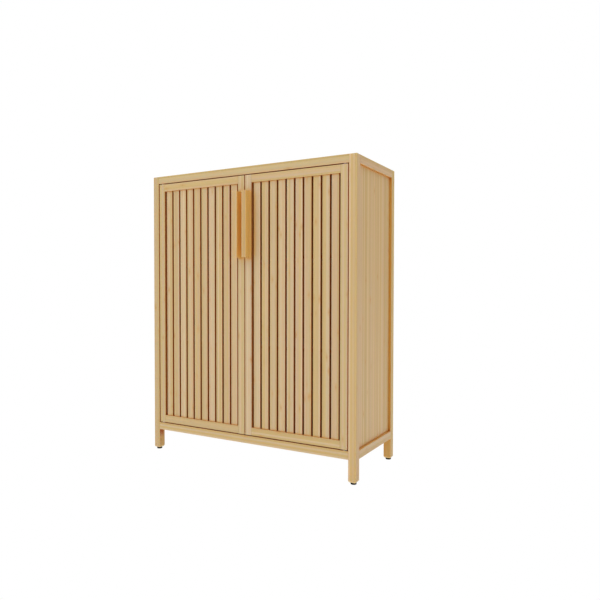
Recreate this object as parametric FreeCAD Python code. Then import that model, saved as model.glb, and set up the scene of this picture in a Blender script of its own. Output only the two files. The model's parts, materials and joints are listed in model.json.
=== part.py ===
import FreeCAD, Part
import os
from FreeCAD import Vector as V

# Slatted two-door shoe cabinet on four legs, in millimetres.
# Frame: +X to the right, +Y to the back, +Z up. The origin is the middle of the
# whole object's footprint, on the floor. The doors and handles face -Y.

# ---------------------------------------------------------------- driving dimensions
body_width = 787.1           # over the posts, left to right
body_depth = 309.6           # over the posts, front to back, without the handles
body_height = 967.5          # floor to top

post = 25.0                  # square corner posts, which run down as the legs
post_round = 3.0             # outer upright edge of each post
arris = 0.8                  # small rounding on the other visible edges
leg_taper_h = 4.5            # height of the bevel at each leg's end
leg_taper_in = 3.0           # how far that bevel comes in on each side
foot_height = 6.0            # floor to the end of the leg

rail_h = 25.5                # height of every body rail
rail_bottom_z = 72.5         # underside of the bottom rails
groove = 5.0                 # depth of the side panels' grooves
side_panel_t = 9.0
side_panel_in = 8.0          # side panel's outer face behind the posts' outer faces
board_t = 12.0               # top, bottom and shelves
rebate = 5.0                 # the top and bottom boards lie this far on the rails
back_t = 5.0
back_lap = 8.0               # the back panel laps this far on to the rear frame

shelf_top_z = (391.0, 679.0)
shelf_front = 26.0           # shelf's front edge behind the front plane, clear of the doors' swing
shelf_rear = 6.0             # shelf's rear edge in front of the rear plane
shelf_play = 1.0
pin_d = 5.0                  # shelf pins
pin_in, pin_out = 6.0, 8.0   # in the side panel, and out of it
pin_y = 60.0                 # pin's axis behind the front plane

gap_side = 2.3               # door to post
gap_mid = 2.5                # door to door
gap_end = 2.5                # door to rail, top and bottom
door_recess = 0.5            # door's face behind the front plane
door_t = 15.0
stile_w = 25.0
door_rail_h = 25.5
door_round = 2.0             # front edge of the outer stile, which swings past the post
slat_count = 10
slat_w = 25.0
slat_t = 6.0
slat_in = 4.0                # slat's face behind the door's face
slat_tenon = 8.0

handle_w = 17.8
handle_out = 31.0            # from the door's face
handle_z0, handle_z1 = 674.0, 886.0
handle_round = 1.6
cove_r = 7.5                 # finger groove along the handle's slat side
cove_depth = 5.0
cove_mid = 10.0              # its axis in front of the door's face
handle_screw_z = (704.0, 856.0)

pivot_in = 12.0              # pivot axis from the door's outer edge
pivot_d = 5.0
pivot_in_door = 20.0
pivot_play = 0.05            # radial
bush_d = 9.0
bush_len = 12.0
bush_flange_d = 12.0
bush_flange_t = 1.0

dowel_d = 6.0
dowel_half = 9.0             # depth of a dowel in each of its two pieces

cam_from_end = 34.0          # cam's axis from the rail's end
cam_d = 12.0
cam_h = 12.0
cam_bolt_z = 8.0             # bolt's axis above the rail's underside
cam_y = 17.0                 # bolt's axis behind the front (or before the rear) plane
cam_bolt_d = 6.0
cam_bolt_in_post = 9.0

foot_d = 18.0
foot_gap = 0.3               # leg end to foot pad when the foot is fully in
stud_d = 6.0
stud_len = 20.0
stud_play = 0.05             # radial
insert_d = 10.0
insert_len = 13.0

# ---------------------------------------------------------------- derived places
total_depth = body_depth + handle_out - door_recess
xl, xr = -body_width / 2, body_width / 2
yf = -total_depth / 2 + handle_out - door_recess       # front plane of the body
yb = yf + body_depth                                    # rear plane
zt = body_height
top_rail_z = zt - rail_h                                # underside of the top rails
bottom_rail_top = rail_bottom_z + rail_h

door_z0 = bottom_rail_top + gap_end
door_z1 = top_rail_z - gap_end
door_w = (body_width - 2 * post - 2 * gap_side - gap_mid) / 2
dx0 = xl + post + gap_side                              # left door's outer edge
dx1 = dx0 + door_w                                      # left door's inner edge
dy0 = yf + door_recess                                  # door's face
dy1 = dy0 + door_t                                      # door's back
opening_w = door_w - 2 * stile_w
slat_gap = (opening_w - slat_count * slat_w) / (slat_count + 1)
pivot_x = dx0 + pivot_in
pivot_y = dy0 + door_t / 2

X, Y, Z = V(1, 0, 0), V(0, 1, 0), V(0, 0, 1)


# ---------------------------------------------------------------- helpers
def box(x0, x1, y0, y1, z0, z1):
    return Part.makeBox(x1 - x0, y1 - y0, z1 - z0, V(x0, y0, z0))


def cyl(d, p, axis, length):
    return Part.makeCylinder(d / 2.0, length, V(*p), axis)


def tube(d_out, d_in, p, axis, length):
    return cyl(d_out, p, axis, length).cut(cyl(d_in, p, axis, length))


def cone(d0, d1, p, axis, length):
    return Part.makeCone(d0 / 2.0, d1 / 2.0, length, V(*p), axis)


def along(edge, axis):
    a, b = edge.Vertexes[0].Point, edge.Vertexes[-1].Point
    d = b.sub(a)
    return d.Length > 1e-6 and abs(abs(d.dot(axis)) / d.Length - 1) < 1e-6


def pick(shape, axis, **at):
    """Straight edges along one axis, at the given x, y or z."""
    found = []
    for e in shape.Edges:
        if not along(e, axis):
            continue
        c = e.CenterOfMass
        if all(abs(getattr(c, k) - v) < 1e-4 for k, v in at.items()):
            found.append(e)
    return found


def round_edges(shape, radius, edges):
    return shape.makeFillet(radius, edges)


def cut_all(shape, tools):
    for t in tools:
        shape = shape.cut(t)
    return shape


def mirror_x(shape):
    return shape.mirror(V(0, 0, 0), X)


def mirror_y(shape):
    """Swap front and back of the body."""
    return shape.mirror(V(0, (yf + yb) / 2, 0), Y)


def solids(shape):
    if shape.ShapeType == "Solid":
        return [shape]
    return shape.Solids


nodes = {}


def keep(name, *shapes):
    parts = []
    for s in shapes:
        parts.extend(solids(s))
    for s in parts:
        if not s.isValid():
            raise RuntimeError(name + " has a bad solid")
    nodes[name] = parts[0] if len(parts) == 1 else Part.makeCompound(parts)
    print("%-24s %3d solids %10.1f mm3" % (name, len(parts), sum(p.Volume for p in parts)))


# ---------------------------------------------------------------- fastener patterns
side_dowel_x = xl + post / 2
side_dowel_z = (rail_bottom_z + 6.0, rail_bottom_z + 15.0, top_rail_z + 11.0, top_rail_z + 20.0)
bolt_z = (rail_bottom_z + cam_bolt_z, top_rail_z + cam_bolt_z)
front_dowel_y = yf + 8.0
shelf_pin_z = [z - board_t - pin_d / 2 for z in shelf_top_z]
cam_x = xl + post + cam_from_end
cam_yy = yf + cam_y

# Dowels and bolts at the front left corner. The other three corners mirror them.
corner_side_dowels = [
    cyl(dowel_d, (side_dowel_x, yf + post - dowel_half, z), Y, 2 * dowel_half) for z in side_dowel_z
]
front_dowel_z = (rail_bottom_z + cam_bolt_z, top_rail_z + 18.0)
corner_front_dowels = [
    cyl(dowel_d, (xl + post - dowel_half, front_dowel_y, z), X, 2 * dowel_half) for z in front_dowel_z
]


def cam_bolt(z):
    a = cyl(cam_bolt_d, (xl + post - cam_bolt_in_post, cam_yy, z), X, cam_bolt_in_post)
    b = cyl(5.0, (xl + post, cam_yy, z), X, cam_from_end - 5.0)
    c = cyl(6.6, (xl + post + cam_from_end - 5.0, cam_yy, z), X, 4.0)
    return a.fuse(b).fuse(c).removeSplitter()


def cam_lock(z):
    z0 = z - cam_bolt_z
    body = cyl(cam_d, (cam_x, cam_yy, z0), Z, cam_h - 0.4)
    body = body.cut(cyl(7.2, (cam_x - cam_d, cam_yy, z), X, cam_d + 1.5))
    body = body.cut(box(cam_x - 3.6, cam_x + 3.6, cam_yy - 0.7, cam_yy + 0.7, z0, z0 + 1.6))
    body = body.cut(box(cam_x - 0.7, cam_x + 0.7, cam_yy - 3.6, cam_yy + 3.6, z0, z0 + 1.6))
    return body


def cam_hole(z):
    z0 = z - cam_bolt_z
    return [
        cyl(cam_d, (cam_x, cam_yy, z0), Z, cam_h),
        cyl(7.2, (xl + post, cam_yy, z), X, cam_from_end),
    ]


# ---------------------------------------------------------------- posts
def post_blank():
    x0, x1, y0, y1 = xl, xl + post, yf, yf + post
    b = box(x0, x1, y0, y1, foot_height, zt)
    b = round_edges(b, post_round, pick(b, Z, x=x0, y=y0))
    b = round_edges(b, arris, pick(b, Z, x=x1, y=y0) + pick(b, Z, x=x0, y=y1) + pick(b, Z, x=x1, y=y1))
    # bevelled leg end
    t = leg_taper_in

    def ring(i, z):
        pts = [V(x0 + i, y0 + i, z), V(x1 - i, y0 + i, z), V(x1 - i, y1 - i, z), V(x0 + i, y1 - i, z)]
        return Part.makePolygon(pts + pts[:1])

    skirt = Part.makeLoft([ring(t, foot_height), ring(0, foot_height + leg_taper_h)], True, True)
    skirt = skirt.fuse(box(x0, x1, y0, y1, foot_height + leg_taper_h, zt))
    b = b.common(skirt)
    # top outer edges
    top = [e for e in b.Edges
           if abs(e.CenterOfMass.z - zt) < 1e-4
           and (e.CenterOfMass.x < x0 + 1.6 or e.CenterOfMass.y < y0 + 1.6)]
    return round_edges(b, 1.2, top)


def post_front_left():
    p = post_blank()
    cuts = [
        box(xl + side_panel_in, xl + side_panel_in + side_panel_t, yf + post - groove, yf + post + 1,
            bottom_rail_top - groove, top_rail_z + groove),
        cyl(insert_d, (xl + post / 2, yf + post / 2, foot_height - 1), Z, insert_len + 1),
        cyl(stud_d + 1.0, (xl + post / 2, yf + post / 2, foot_height), Z, 25.0),
    ]
    cuts += corner_side_dowels + corner_front_dowels
    cuts += [cyl(cam_bolt_d, (xl + post - cam_bolt_in_post, cam_yy, z), X, cam_bolt_in_post + 1) for z in bolt_z]
    return cut_all(p, cuts)


back_x0, back_x1 = xl + post - back_lap, xr - post + back_lap
back_z0, back_z1 = bottom_rail_top - back_lap, top_rail_z + back_lap
back_screw_spots = [(x, z) for z in (top_rail_z + 4.0, bottom_rail_top - 4.0) for x in (-300.0, -100.0, 100.0, 300.0)]
back_screw_spots += [(s * (body_width / 2 - 21.0), z) for s in (-1, 1) for z in (200.0, 430.0, 620.0, 820.0)]


def wood_screw(d, head_d, head_t, length, p, axis):
    """Countersunk screw: p is the middle of its head's outer face, axis points to its tip."""
    a = V(*p)
    head = Part.makeCone(head_d / 2, d / 2, head_t, a, axis)
    shank = Part.makeCylinder(d / 2, length - head_t - d, a + axis * head_t, axis)
    tip = Part.makeCone(d / 2, 0.25, d, a + axis * (length - d), axis)
    s = head.fuse(shank).fuse(tip).removeSplitter()
    return s


def driver_slot(p, axis, size, depth):
    """Cross recess in a screw head."""
    a = V(*p)
    t = size / 5.0
    if abs(axis.y) > 0.5:
        y0, y1 = sorted((a.y, a.y + axis.y * depth))
        return [box(a.x - size / 2, a.x + size / 2, y0, y1, a.z - t / 2, a.z + t / 2),
                box(a.x - t / 2, a.x + t / 2, y0, y1, a.z - size / 2, a.z + size / 2)]
    z0, z1 = sorted((a.z, a.z + axis.z * depth))
    return [box(a.x - size / 2, a.x + size / 2, a.y - t / 2, a.y + t / 2, z0, z1),
            box(a.x - t / 2, a.x + t / 2, a.y - size / 2, a.y + size / 2, z0, z1)]


def back_screw(x, z):
    return wood_screw(3.0, 5.6, 1.6, 14.0, (x, yb, z), V(0, -1, 0))


back_screw_tools = [back_screw(x, z) for x, z in back_screw_spots]
back_rebate = box(back_x0, back_x1, yb - back_t, yb + 1, back_z0, back_z1)

front_left = post_front_left()
rear_left = cut_all(mirror_y(front_left), [back_rebate] + [t for t in back_screw_tools if t.BoundBox.XMin < -350])
keep("post_front_left", front_left)
keep("post_front_right", mirror_x(front_left))
keep("post_rear_left", rear_left)
keep("post_rear_right", mirror_x(rear_left))


# ---------------------------------------------------------------- side rails
def side_rail(z0, lower):
    x0, x1, y0, y1 = xl, xl + post, yf + post, yb - post
    b = box(x0, x1, y0, y1, z0, z0 + rail_h)
    b = round_edges(b, 1.2 if not lower else arris, pick(b, Y, x=x0, z=z0 + rail_h))
    b = round_edges(b, arris, pick(b, Y, x=x0, z=z0) + pick(b, Y, x=x1, z=z0))
    gz = (z0 + rail_h - groove, z0 + rail_h + 1) if lower else (z0 - 1, z0 + groove)
    cuts = [
        box(x0 + side_panel_in, x0 + side_panel_in + side_panel_t, y0 - 1, y1 + 1, gz[0], gz[1]),
        box(x1 - rebate, x1 + 1, y0 - 1, y1 + 1, z0 + rail_h - board_t, z0 + rail_h + 1),
    ]
    cuts += corner_side_dowels + [mirror_y(d) for d in corner_side_dowels]
    return cut_all(b, cuts)


low, high = side_rail(rail_bottom_z, True), side_rail(top_rail_z, False)
keep("side_rail_top_left", high)
keep("side_rail_top_right", mirror_x(high))
keep("side_rail_bottom_left", low)
keep("side_rail_bottom_right", mirror_x(low))


# ---------------------------------------------------------------- front and rear rails
catch_w, catch_t, catch_h = 52.0, 11.0, 13.0
catch_y0 = dy1 + 1.3
catch_z0 = top_rail_z - catch_h
catch_screw_x = 21.0
catch_screw_y = catch_y0 + 4.2
catch_screws = [
    wood_screw(3.0, 5.6, 1.6, 23.0, (s * catch_screw_x, catch_screw_y, catch_z0), Z) for s in (-1, 1)
]


def bush_hole(top):
    z = top_rail_z if top else bottom_rail_top - bush_len
    return cyl(bush_d, (pivot_x, pivot_y, z), Z, bush_len)


def long_rail(z0, z, top):
    x0, x1, y0, y1 = xl + post, xr - post, yf, yf + post
    b = box(x0, x1, y0, y1, z0, z0 + rail_h)
    b = round_edges(b, 1.2 if top else arris, pick(b, X, y=y0, z=z0 + rail_h))
    b = round_edges(b, arris, pick(b, X, y=y0, z=z0) + pick(b, X, y=y1, z=z0))
    cuts = [box(x0 - 1, x1 + 1, y1 - rebate, y1 + 1, z0 + rail_h - board_t, z0 + rail_h + 1)]
    half = cam_hole(z) + corner_front_dowels
    cuts += half + [mirror_x(c) for c in half]
    return cut_all(b, cuts)


for level, z0, z in (("top", top_rail_z, bolt_z[1]), ("bottom", rail_bottom_z, bolt_z[0])):
    blank = long_rail(z0, z, level == "top")
    hole = bush_hole(level == "top")
    front = cut_all(blank, [hole, mirror_x(hole)] + (catch_screws if level == "top" else []))
    rear = cut_all(mirror_y(blank), [back_rebate] + back_screw_tools)
    keep("front_rail_" + level, front)
    keep("rear_rail_" + level, rear)

# ---------------------------------------------------------------- panels and boards
panel_face = xl + side_panel_in + side_panel_t     # left side panel's inner face
pins = []
for z in shelf_pin_z:
    p = cyl(pin_d, (panel_face - pin_in, yf + pin_y, z), X, pin_in + pin_out)
    pins += [p, mirror_y(p)]
keep("side_panel_left", cut_all(box(xl + side_panel_in, panel_face,
                                    yf + post - groove, yb - post + groove,
                                    bottom_rail_top - groove, top_rail_z + groove), pins))
keep("side_panel_right", mirror_x(nodes["side_panel_left"]))


def board(z1):
    b = box(xl + post - rebate, xr - post + rebate, yf + post - rebate, yb - post + rebate, z1 - board_t, z1)
    n = rebate
    for sx in (-1, 1):
        for y0 in (yf + post - n, yb - post):
            x0 = xl + post - n if sx < 0 else xr - post
            b = b.cut(box(x0, x0 + n, y0, y0 + n, z1 - board_t - 1, z1 + 1))
    return b


keep("top_panel", board(zt))
keep("bottom_panel", board(bottom_rail_top))
keep("back_panel", cut_all(box(back_x0, back_x1, yb - back_t, yb, back_z0, back_z1), back_screw_tools))


def shelf(z1):
    z0 = z1 - board_t
    front, rear = yf + shelf_front, yb - shelf_rear
    middle = box(panel_face + shelf_play, -panel_face - shelf_play, front, yb - post - shelf_play, z0, z1)
    tongue = box(xl + post + shelf_play, xr - post - shelf_play, front, rear, z0, z1)
    s = middle.fuse(tongue).removeSplitter()
    return round_edges(s, 1.5, pick(s, X, y=front, z=z1) + pick(s, X, y=front, z=z0))


keep("shelf_lower", shelf(shelf_top_z[0]))
keep("shelf_upper", shelf(shelf_top_z[1]))

pins = [p.makeChamfer(0.6, [e for e in p.Edges if abs(e.CenterOfMass.x - (panel_face + pin_out)) < 1e-4]) for p in pins]
keep("shelf_pins", *(pins + [mirror_x(p) for p in pins]))

# ---------------------------------------------------------------- joining hardware of the body
def four(shapes):
    out = []
    for s in shapes:
        out += [s, mirror_x(s), mirror_y(s), mirror_x(mirror_y(s))]
    return out


keep("rail_dowels", *four(corner_side_dowels + corner_front_dowels))
keep("cam_bolts", *four([cam_bolt(z) for z in bolt_z]))
keep("cam_locks", *four([cam_lock(z) for z in bolt_z]))
keep("back_screws", *[cut_all(s, driver_slot((x, yb, z), V(0, -1, 0), 2.8, 1.0))
                      for s, (x, z) in zip(back_screw_tools, back_screw_spots)])

insert = tube(insert_d, stud_d + 2 * stud_play, (xl + post / 2, yf + post / 2, foot_height), Z, insert_len)
keep("foot_inserts", *four([insert]))

# Pivot bushes: blind nylon bushes with a thin flange in the gap above or below the door.
low_bush = cyl(bush_d, (pivot_x, pivot_y, bottom_rail_top - bush_len), Z, bush_len)
low_bush = low_bush.fuse(cyl(bush_flange_d, (pivot_x, pivot_y, bottom_rail_top), Z, bush_flange_t)).removeSplitter()
low_bush = low_bush.cut(cyl(pivot_d + 2 * pivot_play, (pivot_x, pivot_y, bottom_rail_top - bush_len + 2.0), Z, bush_len))
high_bush = cyl(bush_d, (pivot_x, pivot_y, top_rail_z), Z, bush_len)
high_bush = high_bush.fuse(cyl(bush_flange_d, (pivot_x, pivot_y, top_rail_z - bush_flange_t), Z, bush_flange_t)).removeSplitter()
high_bush = high_bush.cut(cyl(pivot_d + 2 * pivot_play, (pivot_x, pivot_y, top_rail_z - 2.0), Z, bush_len))
keep("pivot_bushes", low_bush, high_bush, mirror_x(low_bush), mirror_x(high_bush))

# Double magnetic catch under the front top rail, behind the two meeting stiles.
magnet_x, magnet_w, magnet_t, magnet_h = 10.5, 12.0, 6.0, 8.0
magnet_z0 = catch_z0 + 1.5
housing = box(-catch_w / 2, catch_w / 2, catch_y0, catch_y0 + catch_t, catch_z0, top_rail_z)
housing = round_edges(housing, 2.0, pick(housing, Z, x=-catch_w / 2) + pick(housing, Z, x=catch_w / 2))
pockets = [box(s * magnet_x - magnet_w / 2, s * magnet_x + magnet_w / 2, catch_y0 - 1, catch_y0 + magnet_t,
               magnet_z0, magnet_z0 + magnet_h) for s in (-1, 1)]
keep("catch_housing", cut_all(housing, pockets + catch_screws))
keep("catch_magnets", *[box(s * magnet_x - magnet_w / 2, s * magnet_x + magnet_w / 2, catch_y0, catch_y0 + magnet_t,
                            magnet_z0, magnet_z0 + magnet_h) for s in (-1, 1)])
keep("catch_screws", *[cut_all(c, driver_slot((s * catch_screw_x, catch_screw_y, catch_z0), Z, 2.8, 1.0))
                       for c, s in zip(catch_screws, (-1, 1))])

# ---------------------------------------------------------------- doors (left one, mirrored to the right)
door_dowel_z = (door_z0 + 5.75, door_z0 + 13.25, door_z1 - 13.25, door_z1 - 5.75)
dyc = (dy0 + dy1) / 2
in_x0 = dx0 + stile_w            # opening between the stiles
in_x1 = dx1 - stile_w
door_dowels = [cyl(dowel_d, (x - dowel_half, dyc, z), X, 2 * dowel_half)
               for x in (in_x0, in_x1) for z in door_dowel_z]

# pivot pins
low_pin = cyl(pivot_d, (pivot_x, pivot_y, bottom_rail_top - bush_len + 2.1), Z,
              door_z0 + pivot_in_door - (bottom_rail_top - bush_len + 2.1))
high_pin = cyl(pivot_d, (pivot_x, pivot_y, door_z1 - pivot_in_door), Z,
               top_rail_z + bush_len - 2.4 - (door_z1 - pivot_in_door))

outer = box(dx0, in_x0, dy0, dy1, door_z0, door_z1)
outer = round_edges(outer, door_round, pick(outer, Z, x=dx0, y=dy0))
outer = round_edges(outer, arris, pick(outer, Z, x=in_x0, y=dy0) + pick(outer, Z, x=dx0, y=dy1))
outer = cut_all(outer, [low_pin, high_pin] + door_dowels)

# The handle's outer face is flush with the inner stile's slat side.
hx0, hx1 = in_x1, in_x1 + handle_w
hxc = (hx0 + hx1) / 2
hy0 = dy0 - handle_out


def handle_screw(z, slot=True):
    y1 = dy1
    head = cyl(8.0, (hxc, y1 - 2.6, z), Y, 2.6)
    shank = cyl(4.0, (hxc, y1 - 30.0, z), Y, 28.0)
    s = head.fuse(shank).removeSplitter()
    if slot:
        s = cut_all(s, driver_slot((hxc, y1, z), V(0, -1, 0), 4.0, 1.4))
    return s


handle_holes = [handle_screw(z, False) for z in handle_screw_z]

# strike plate on the back of the inner stile, opposite its magnet
plate_w, plate_h, plate_t = 16.0, 12.0, 1.0
plate_x = -magnet_x
plate_z0 = door_z1 - 1.0 - plate_h
plate_screw = wood_screw(3.0, 5.6, 0.9, 10.0, (plate_x, dy1 + plate_t, plate_z0 + plate_h / 2 - 1.0), V(0, -1, 0))

inner = box(in_x1, dx1, dy0, dy1, door_z0, door_z1)
inner = round_edges(inner, arris, pick(inner, Z, x=in_x1, y=dy0) + pick(inner, Z, x=dx1, y=dy0) + pick(inner, Z, x=dx1, y=dy1))
inner = cut_all(inner, door_dowels + handle_holes + [plate_screw])

slat_x0 = [in_x0 + slat_gap + i * (slat_w + slat_gap) for i in range(slat_count)]
slat_y0, slat_y1 = dy0 + slat_in, dy0 + slat_in + slat_t
slat_z0 = door_z0 + door_rail_h - slat_tenon
slat_z1 = door_z1 - door_rail_h + slat_tenon
slats = []
for x in slat_x0:
    s = box(x, x + slat_w, slat_y0, slat_y1, slat_z0, slat_z1)
    slats.append(round_edges(s, arris, pick(s, Z, x=x, y=slat_y0) + pick(s, Z, x=x + slat_w, y=slat_y0)))


def door_rail(z0):
    b = box(in_x0, in_x1, dy0, dy1, z0, z0 + door_rail_h)
    b = round_edges(b, arris, pick(b, X, y=dy0))
    return cut_all(b, slats + door_dowels)


handle = box(hx0, hx1, hy0, dy0, handle_z0, handle_z1)
handle = round_edges(handle, handle_round,
                     pick(handle, Z, y=hy0) + pick(handle, X, y=hy0)
                     + pick(handle, Y, x=hx0) + pick(handle, Y, x=hx1))
cove_x = hx0 + cove_depth - cove_r
handle = handle.cut(cyl(2 * cove_r, (cove_x, dy0 - cove_mid, handle_z0 - 1), Z, handle_z1 - handle_z0 + 2))
handle = cut_all(handle, handle_holes)

left = {
    "stile_outer": [outer],
    "stile_inner": [inner],
    "rail_top": [door_rail(door_z1 - door_rail_h)],
    "rail_bottom": [door_rail(door_z0)],
    "slats": slats,
    "dowels": door_dowels,
    "handle": [handle],
    "handle_screws": [handle_screw(z) for z in handle_screw_z],
    "pivot_pins": [low_pin, high_pin],
    "strike_plate": [box(plate_x - plate_w / 2, plate_x + plate_w / 2, dy1, dy1 + plate_t, plate_z0,
                         plate_z0 + plate_h).cut(plate_screw)],
    "strike_screw": [cut_all(plate_screw, driver_slot((plate_x, dy1 + plate_t, plate_z0 + plate_h / 2 - 1.0),
                                                      V(0, -1, 0), 2.8, 0.8))],
}
for name, shapes in left.items():
    keep("door_left_" + name, *shapes)
    keep("door_right_" + name, *[mirror_x(s) for s in shapes])

# ---------------------------------------------------------------- levelling feet
fx, fy = xl + post / 2, yf + post / 2
pad = cyl(foot_d, (fx, fy, 0), Z, foot_height - foot_gap)
pad = pad.makeChamfer(1.0, [e for e in pad.Edges if abs(e.CenterOfMass.z) < 1e-4])
stud_hole = cyl(stud_d, (fx, fy, 2.0), Z, foot_height)
pad = pad.cut(stud_hole)
stud = cyl(stud_d, (fx, fy, 2.0), Z, foot_height - 2.0 + stud_len)
stud = stud.makeChamfer(0.8, [e for e in stud.Edges if abs(e.CenterOfMass.z - (foot_height + stud_len)) < 1e-4])
for corner, move in (("front_left", lambda s: s), ("front_right", mirror_x),
                     ("rear_left", mirror_y), ("rear_right", lambda s: mirror_x(mirror_y(s)))):
    keep("foot_pad_" + corner, move(pad))
    keep("foot_stud_" + corner, move(stud))

# ---------------------------------------------------------------- write
for name, shape in nodes.items():
    shape.exportStep("parts/" + name + ".step")

whole = Part.makeCompound(list(nodes.values())).BoundBox
print("nodes", len(nodes))
print("box X %.2f %.2f  Y %.2f %.2f  Z %.2f %.2f" % (whole.XMin, whole.XMax, whole.YMin, whole.YMax, whole.ZMin, whole.ZMax))
print("front plane y %.2f  rear plane y %.2f  pivot x %.2f y %.2f  slat gap %.3f" % (yf, yb, pivot_x, pivot_y, slat_gap))
print("door x %.2f %.2f  y %.2f %.2f  z %.2f %.2f" % (dx0, dx1, dy0, dy1, door_z0, door_z1))
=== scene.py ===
import json
import math
import bmesh
import bpy
from mathutils import Matrix, Vector


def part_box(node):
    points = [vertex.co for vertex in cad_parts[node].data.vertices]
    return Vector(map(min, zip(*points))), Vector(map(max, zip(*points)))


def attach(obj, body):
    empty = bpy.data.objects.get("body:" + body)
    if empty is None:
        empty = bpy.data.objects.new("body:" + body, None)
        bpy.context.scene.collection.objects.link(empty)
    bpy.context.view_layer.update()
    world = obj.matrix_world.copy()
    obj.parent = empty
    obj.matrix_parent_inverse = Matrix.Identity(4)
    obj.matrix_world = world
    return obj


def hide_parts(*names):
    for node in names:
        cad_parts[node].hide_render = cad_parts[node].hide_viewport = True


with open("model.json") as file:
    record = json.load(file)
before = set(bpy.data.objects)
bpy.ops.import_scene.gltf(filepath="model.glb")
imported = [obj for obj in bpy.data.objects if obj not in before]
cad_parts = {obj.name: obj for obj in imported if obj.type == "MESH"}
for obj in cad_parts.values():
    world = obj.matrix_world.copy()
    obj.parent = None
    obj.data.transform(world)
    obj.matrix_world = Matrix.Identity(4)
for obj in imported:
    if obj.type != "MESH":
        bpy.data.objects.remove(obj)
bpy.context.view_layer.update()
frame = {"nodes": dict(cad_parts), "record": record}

NODES = frame["nodes"]
MM = 0.001


# ------------------------------------------------------------------ node tree helper
class Tree:
    """Short calls for building a material's nodes. Values may be numbers, tuples or sockets."""

    def __init__(self, mat):
        mat.use_nodes = True
        self.nt = mat.node_tree
        self.nt.nodes.clear()
        self.out = self.nt.nodes.new("ShaderNodeOutputMaterial")
        self.n = 0

    def new(self, kind, **props):
        node = self.nt.nodes.new(kind)
        self.n += 1
        node.location = (-220 * (self.n % 12), -180 * (self.n // 12))
        for k, v in props.items():
            setattr(node, k, v)
        return node

    def put(self, socket, value):
        if isinstance(value, bpy.types.NodeSocket):
            self.nt.links.new(value, socket)
        elif isinstance(value, (tuple, list)) and socket.type == "RGBA":
            socket.default_value = tuple(value) + (1.0,) * (4 - len(value))
        else:
            socket.default_value = value

    def m(self, op, a, b=None, c=None, clamp=False):
        node = self.new("ShaderNodeMath", operation=op, use_clamp=clamp)
        for i, v in enumerate((a, b, c)):
            if v is not None:
                self.put(node.inputs[i], v)
        return node.outputs[0]

    def add(self, a, b): return self.m("ADD", a, b)
    def sub(self, a, b): return self.m("SUBTRACT", a, b)
    def mul(self, a, b): return self.m("MULTIPLY", a, b)
    def div(self, a, b): return self.m("DIVIDE", a, b)

    def vec(self, x, y, z):
        node = self.new("ShaderNodeCombineXYZ")
        for i, v in enumerate((x, y, z)):
            self.put(node.inputs[i], v)
        return node.outputs[0]

    def vadd(self, a, b):
        node = self.new("ShaderNodeVectorMath", operation="ADD")
        self.put(node.inputs[0], a)
        self.put(node.inputs[1], b)
        return node.outputs[0]

    def vscale(self, a, s):
        node = self.new("ShaderNodeVectorMath", operation="SCALE")
        self.put(node.inputs[0], a)
        self.put(node.inputs["Scale"], s)
        return node.outputs[0]

    def xyz(self, v):
        node = self.new("ShaderNodeSeparateXYZ")
        self.put(node.inputs[0], v)
        return node.outputs[0], node.outputs[1], node.outputs[2]

    def coords(self):
        return self.new("ShaderNodeTexCoord")

    def white(self, v):
        node = self.new("ShaderNodeTexWhiteNoise", noise_dimensions="3D")
        self.put(node.inputs["Vector"], v)
        return node.outputs["Value"], node.outputs["Color"]

    def noise(self, v, scale=1.0, detail=2.0, rough=0.5, distortion=0.0):
        node = self.new("ShaderNodeTexNoise", noise_dimensions="3D")
        self.put(node.inputs["Vector"], v)
        node.inputs["Scale"].default_value = scale
        node.inputs["Detail"].default_value = detail
        node.inputs["Roughness"].default_value = rough
        node.inputs["Distortion"].default_value = distortion
        return node.outputs["Fac"]

    def voronoi(self, v, scale=1.0, feature="F1"):
        node = self.new("ShaderNodeTexVoronoi", voronoi_dimensions="3D", feature=feature)
        self.put(node.inputs["Vector"], v)
        node.inputs["Scale"].default_value = scale
        return node.outputs["Distance"]

    def ramp(self, v, lo, hi, a=0.0, b=1.0, smooth=True):
        node = self.new("ShaderNodeMapRange", interpolation_type="SMOOTHSTEP" if smooth else "LINEAR")
        self.put(node.inputs["Value"], v)
        self.put(node.inputs["From Min"], lo)
        self.put(node.inputs["From Max"], hi)
        self.put(node.inputs["To Min"], a)
        self.put(node.inputs["To Max"], b)
        return node.outputs["Result"]

    def mix(self, f, a, b, blend="MIX"):
        node = self.new("ShaderNodeMix", data_type="RGBA", blend_type=blend)
        node.clamp_factor = True
        self.put(node.inputs["Factor"], f)
        self.put(node.inputs[6], a)
        self.put(node.inputs[7], b)
        return node.outputs[2]

    def hollow(self, distance, samples=8):
        """How closed in a point is by surfaces near it: 0 in the open, 1 deep in a gap."""
        node = self.new("ShaderNodeAmbientOcclusion", samples=samples)
        node.inputs["Distance"].default_value = distance
        return self.m("SUBTRACT", 1.0, node.outputs["AO"])

    def bump(self, height, distance, strength=1.0, normal=None):
        node = self.new("ShaderNodeBump")
        node.inputs["Strength"].default_value = strength
        node.inputs["Distance"].default_value = distance
        self.put(node.inputs["Height"], height)
        if normal is not None:
            self.put(node.inputs["Normal"], normal)
        return node.outputs["Normal"]

    def surface(self, color, rough, normal=None, **fixed):
        """Principled surface. Colour, roughness and normal may be linked; the rest are plain numbers on the shader."""
        s = self.new("ShaderNodeBsdfPrincipled")
        self.put(s.inputs["Base Color"], color)
        self.put(s.inputs["Roughness"], rough)
        if normal is not None:
            self.put(s.inputs["Normal"], normal)
        for k, v in fixed.items():
            s.inputs[k.replace("_", " ")].default_value = v
        self.nt.links.new(s.outputs[0], self.out.inputs["Surface"])
        return s


def srgb(r, g, b):
    def f(c):
        c /= 255.0
        return c / 12.92 if c <= 0.04045 else ((c + 0.055) / 1.055) ** 2.4
    return f(r), f(g), f(b)


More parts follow.
